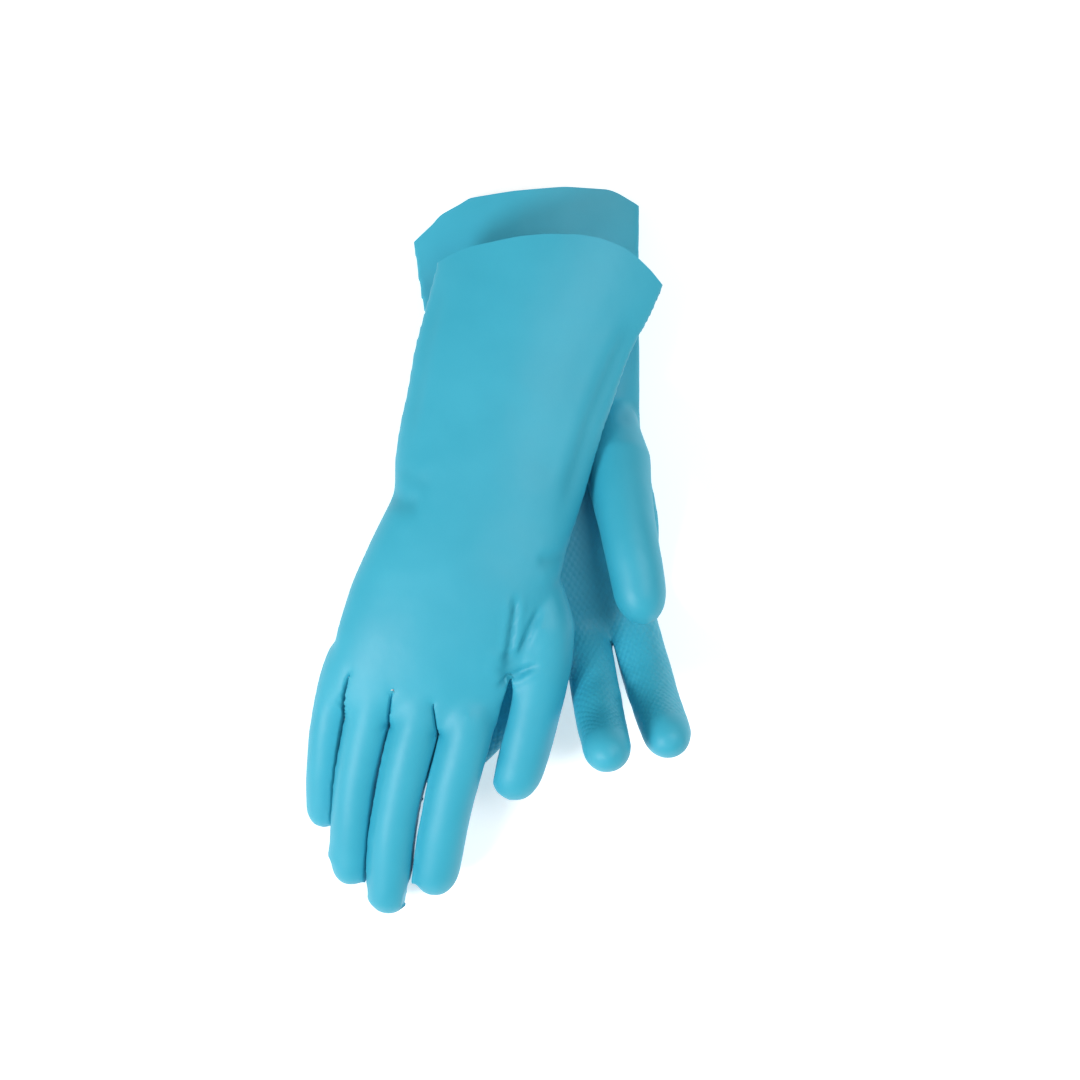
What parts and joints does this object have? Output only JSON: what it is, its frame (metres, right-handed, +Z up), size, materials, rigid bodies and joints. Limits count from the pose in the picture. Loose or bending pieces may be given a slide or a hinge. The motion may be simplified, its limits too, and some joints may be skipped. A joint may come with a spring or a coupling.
{
  "type": "household rubber gloves, pair",
  "caption": "Pair of long flock-lined nitrile household gloves, left one palm up, right one laid back up across it.",
  "frame": {"origin": "middle of the pair's footprint, on the table that it lies on", "axes": "+Z up; +Y from the finger tips towards the cuffs; +X to the thumb side of both gloves"},
  "size_m": [0.1876, 0.3466, 0.0876],
  "materials": {
    "nitrile": "satin, turquoise, dipped",
    "flock": "matt cotton flock"
  },
  "bodies": {
    "left_glove": {"left_hand": "nitrile", "left_hand_lining": "flock", "left_gauntlet": "nitrile", "left_gauntlet_lining": "flock"},
    "left_thumb_stall": {"left_thumb": "nitrile", "left_thumb_lining": "flock"},
    "left_index_stall": {"left_index": "nitrile", "left_index_lining": "flock"},
    "left_middle_stall": {"left_middle": "nitrile", "left_middle_lining": "flock"},
    "left_ring_stall": {"left_ring": "nitrile", "left_ring_lining": "flock"},
    "left_little_stall": {"left_little": "nitrile", "left_little_lining": "flock"},
    "right_glove": {"right_hand": "nitrile", "right_hand_lining": "flock"},
    "right_gauntlet_body": {"right_gauntlet": "nitrile", "right_gauntlet_lining": "flock"},
    "right_thumb_stall": {"right_thumb": "nitrile", "right_thumb_lining": "flock"},
    "right_index_stall": {"right_index": "nitrile", "right_index_lining": "flock"},
    "right_middle_stall": {"right_middle": "nitrile", "right_middle_lining": "flock"},
    "right_ring_stall": {"right_ring": "nitrile", "right_ring_lining": "flock"},
    "right_little_stall": {"right_little": "nitrile", "right_little_lining": "flock"}
  },
  "joints": [
    {"name": "left_thumb_fold", "type": "hinge", "parent": "left_glove", "child": "left_thumb_stall", "pos_m": [0.0642, 0.01637, 0.05663], "axis": [-0.9796, -0.201, 0], "range_deg": [0, 45], "stiffness_Nm_per_rad": 0.02},
    {"name": "left_index_fold", "type": "hinge", "parent": "left_glove", "child": "left_index_stall", "pos_m": [0.06988, -0.04155, 0.02535], "axis": [-0.9708, -0.2397, 0], "range_deg": [0, 30], "stiffness_Nm_per_rad": 0.02},
    {"name": "left_middle_fold", "type": "hinge", "parent": "left_glove", "child": "left_middle_stall", "pos_m": [0.04654, -0.04714, 0.02438], "axis": [-0.9906, -0.1371, 0], "range_deg": [0, 30], "stiffness_Nm_per_rad": 0.02},
    {"name": "left_ring_fold", "type": "hinge", "parent": "left_glove", "child": "left_ring_stall", "pos_m": [0.02185, -0.05617, 0.01264], "axis": [-0.8881, 0.4596, 0], "range_deg": [0, 6], "stiffness_Nm_per_rad": 0.02},
    {"name": "left_little_fold", "type": "hinge", "parent": "left_glove", "child": "left_little_stall", "pos_m": [-0.0007, -0.05206, 0.01187], "axis": [-0.7962, 0.6051, 0], "range_deg": [0, 6], "stiffness_Nm_per_rad": 0.02},
    {"name": "right_thumb_fold", "type": "hinge", "parent": "right_glove", "child": "right_thumb_stall", "pos_m": [0.02084, -0.0732, 0.05101], "axis": [-0.9772, 0.2121, 0], "range_deg": [0, 45], "stiffness_Nm_per_rad": 0.02},
    {"name": "right_index_fold", "type": "hinge", "parent": "right_glove", "child": "right_index_stall", "pos_m": [-0.01416, -0.09875, 0.0527], "axis": [-0.9607, 0.2774, 0], "range_deg": [0, 60], "stiffness_Nm_per_rad": 0.02},
    {"name": "right_middle_fold", "type": "hinge", "parent": "right_glove", "child": "right_middle_stall", "pos_m": [-0.03809, -0.09386, 0.05284], "axis": [-0.9528, 0.3036, 0], "range_deg": [0, 60], "stiffness_Nm_per_rad": 0.02},
    {"name": "right_ring_fold", "type": "hinge", "parent": "right_glove", "child": "right_ring_stall", "pos_m": [-0.05899, -0.0857, 0.05076], "axis": [-0.97, 0.2432, 0], "range_deg": [0, 60], "stiffness_Nm_per_rad": 0.02},
    {"name": "right_little_fold", "type": "hinge", "parent": "right_glove", "child": "right_little_stall", "pos_m": [-0.07649, -0.07217, 0.04508], "axis": [-0.9706, 0.2408, 0], "range_deg": [0, 60], "stiffness_Nm_per_rad": 0.02},
    {"name": "right_glove_lift", "type": "slide", "parent": "left_glove", "child": "right_glove", "axis": [0, 0, 1], "range_m": [0, 0.15]},
    {"name": "right_wrist_fold", "type": "hinge", "parent": "right_glove", "child": "right_gauntlet_body", "pos_m": [-0.00279, 0.02121, 0.067], "axis": [0.972, -0.2351, 0], "range_deg": [0, 45], "stiffness_Nm_per_rad": 0.05}
  ]
}
